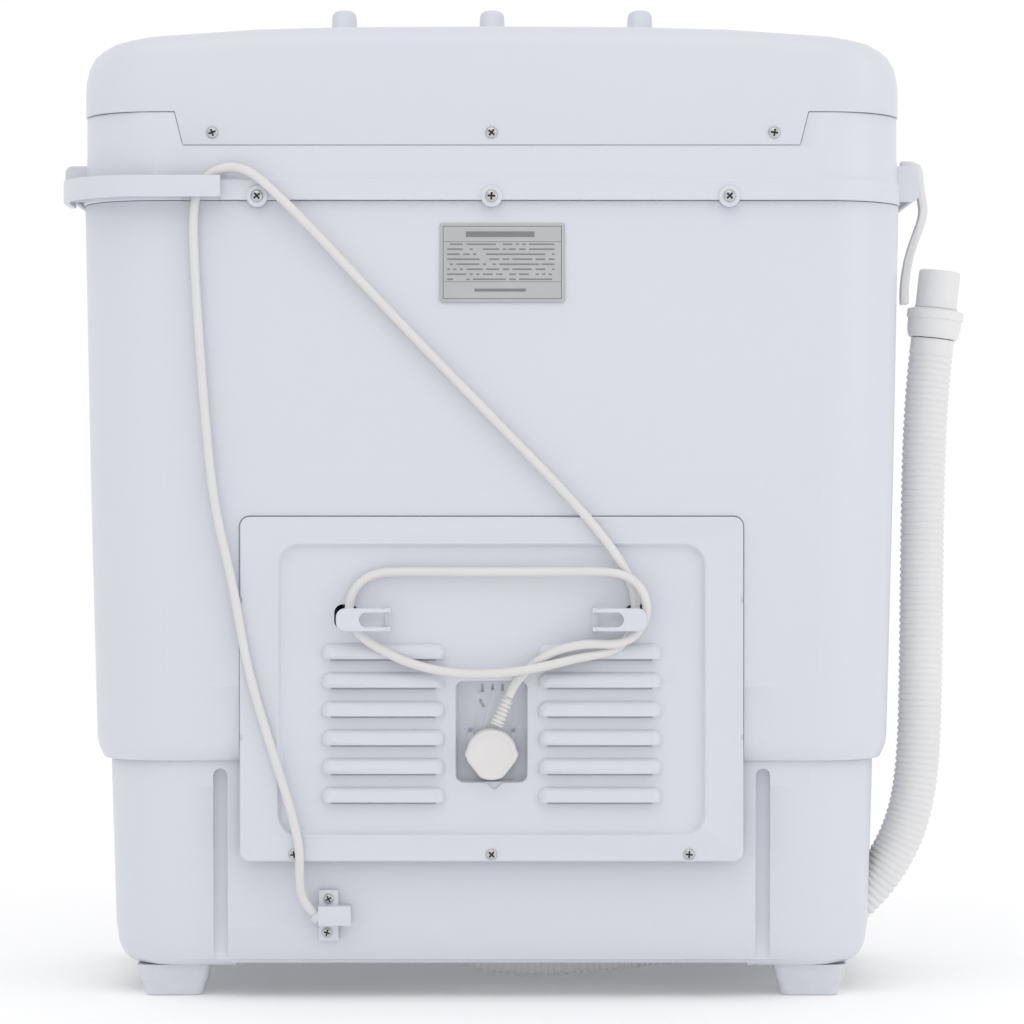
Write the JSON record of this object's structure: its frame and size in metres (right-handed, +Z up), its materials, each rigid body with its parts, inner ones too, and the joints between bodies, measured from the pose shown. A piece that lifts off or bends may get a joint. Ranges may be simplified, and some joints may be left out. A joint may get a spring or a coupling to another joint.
{
  "type": "twin-tub washing machine",
  "caption": "Compact top-loading washing machine with a wash tub and a separate spin basket under hinged lids, a control hood, a mains lead on hooks and a drain hose.",
  "frame": {"origin": "on the floor, under the middle of the body", "axes": "+Z up; -Y is the user's side; +Y is the service side with the mains lead; the wash tub is towards -X"},
  "size_m": [0.6456, 0.366, 0.6998],
  "materials": {
    "white_moulding": "satin moulded",
    "off_white_moulding": "soft matt",
    "grey_moulding": "satin",
    "bright_steel": "bright plated",
    "painted_steel": "satin paint",
    "basket_steel": "brushed",
    "black_rubber": "matt",
    "foot_moulding": "matt",
    "label_foil": "satin foil",
    "wire_sleeve": "matt"
  },
  "bodies": {
    "machine": {"base_housing": "white_moulding", "bearing_housing": "painted_steel", "bellows_seal": "black_rubber", "cabinet": "white_moulding", "control_hood": "white_moulding", "control_panel": "grey_moulding", "cord_clamp": "white_moulding", "drain_hose": "off_white_moulding", "drain_valve_body": "grey_moulding", "drive_belt": "black_rubber", "foot_front_left": "foot_moulding", "foot_front_right": "foot_moulding", "foot_rear_left": "foot_moulding", "foot_rear_right": "foot_moulding", "hood_screw_1": "bright_steel", "hood_screw_2": "bright_steel", "hood_screw_3": "bright_steel", "hose_cuff": "off_white_moulding", "hose_hook": "off_white_moulding", "hose_nozzle": "off_white_moulding", "overflow_cover": "grey_moulding", "plug_strain_relief": "off_white_moulding", "power_cord": "off_white_moulding", "power_plug": "off_white_moulding", "rating_label": "label_foil", "run_capacitor": "grey_moulding", "selector_switch": "grey_moulding", "service_panel": "white_moulding", "spin_lid_pin": "bright_steel", "spin_motor": "painted_steel", "spin_mount_1": "black_rubber", "spin_mount_2": "black_rubber", "spin_mount_3": "black_rubber", "spin_timer": "grey_moulding", "spin_tub": "white_moulding", "top_frame": "white_moulding", "wash_lid_pin": "bright_steel", "wash_motor": "painted_steel", "wash_timer": "grey_moulding", "wash_tub": "white_moulding", "wire_harness": "wire_sleeve"},
    "wash_lid": {"wash_lid": "white_moulding"},
    "spin_lid": {"spin_lid": "white_moulding"},
    "wash_timer_knob": {"wash_timer_knob": "white_moulding", "wash_timer_shaft": "bright_steel"},
    "selector_knob": {"selector_knob": "white_moulding", "selector_shaft": "bright_steel"},
    "spin_timer_knob": {"spin_timer_knob": "white_moulding", "spin_timer_shaft": "bright_steel"},
    "pulsator": {"pulsator": "white_moulding", "pulsator_shaft": "bright_steel", "wash_pulley": "grey_moulding"},
    "motor_pulley": {"motor_pulley": "bright_steel"},
    "spin_basket": {"spin_basket": "basket_steel", "spin_shaft": "bright_steel", "brake_drum": "painted_steel", "spin_press_plate": "white_moulding"},
    "brake_lever": {"brake_lever": "bright_steel"},
    "drain_valve": {"drain_valve_plug": "black_rubber"}
  },
  "joints": [
    {"name": "wash_timer_turn", "type": "hinge", "parent": "machine", "child": "wash_timer_knob", "pos_m": [-0.106, 0.09893, 0.6631], "axis": [0, -0.356, 0.9345], "range_deg": [-300, 0]},
    {"name": "selector_turn", "type": "hinge", "parent": "machine", "child": "selector_knob", "pos_m": [0, 0.09893, 0.6631], "axis": [0, -0.356, 0.9345], "range_deg": [-120, 0]},
    {"name": "spin_timer_turn", "type": "hinge", "parent": "machine", "child": "spin_timer_knob", "pos_m": [0.106, 0.09893, 0.6631], "axis": [0, -0.356, 0.9345], "range_deg": [-300, 0]},
    {"name": "wash_lid_hinge", "type": "hinge", "parent": "machine", "child": "wash_lid", "pos_m": [-0.114, 0.04, 0.606], "axis": [-1, 0, 0], "range_deg": [0, 95]},
    {"name": "spin_lid_hinge", "type": "hinge", "parent": "machine", "child": "spin_lid", "pos_m": [0.153, 0.04, 0.606], "axis": [-1, 0, 0], "range_deg": [0, 95]},
    {"name": "pulsator_spin", "type": "hinge", "parent": "machine", "child": "pulsator", "pos_m": [-0.113, -0.046, 0.22], "axis": [0, 0, 1], "continuous": true},
    {"name": "motor_pulley_spin", "type": "hinge", "parent": "machine", "child": "motor_pulley", "pos_m": [0, -0.075, 0.102], "axis": [0, 0, 1], "continuous": true},
    {"name": "basket_spin", "type": "hinge", "parent": "machine", "child": "spin_basket", "pos_m": [0.152, -0.046, 0.26], "axis": [0, 0, 1], "continuous": true},
    {"name": "brake_lever_turn", "type": "hinge", "parent": "machine", "child": "brake_lever", "pos_m": [0.1985, -0.046, 0.201], "axis": [0, 0, 1], "range_deg": [0, 6]},
    {"name": "drain_valve_lift", "type": "slide", "parent": "machine", "child": "drain_valve", "axis": [0, 0, 1], "range_m": [0, 0.015]}
  ],
  "couplings": [
    {"joint": "motor_pulley_spin", "follows": "pulsator_spin", "ratio": 6.4348},
    {"joint": "brake_lever_turn", "follows": "spin_lid_hinge", "ratio": 0.06316},
    {"joint": "drain_valve_lift", "follows": "selector_turn", "m_per_rad": -0.007157}
  ]
}
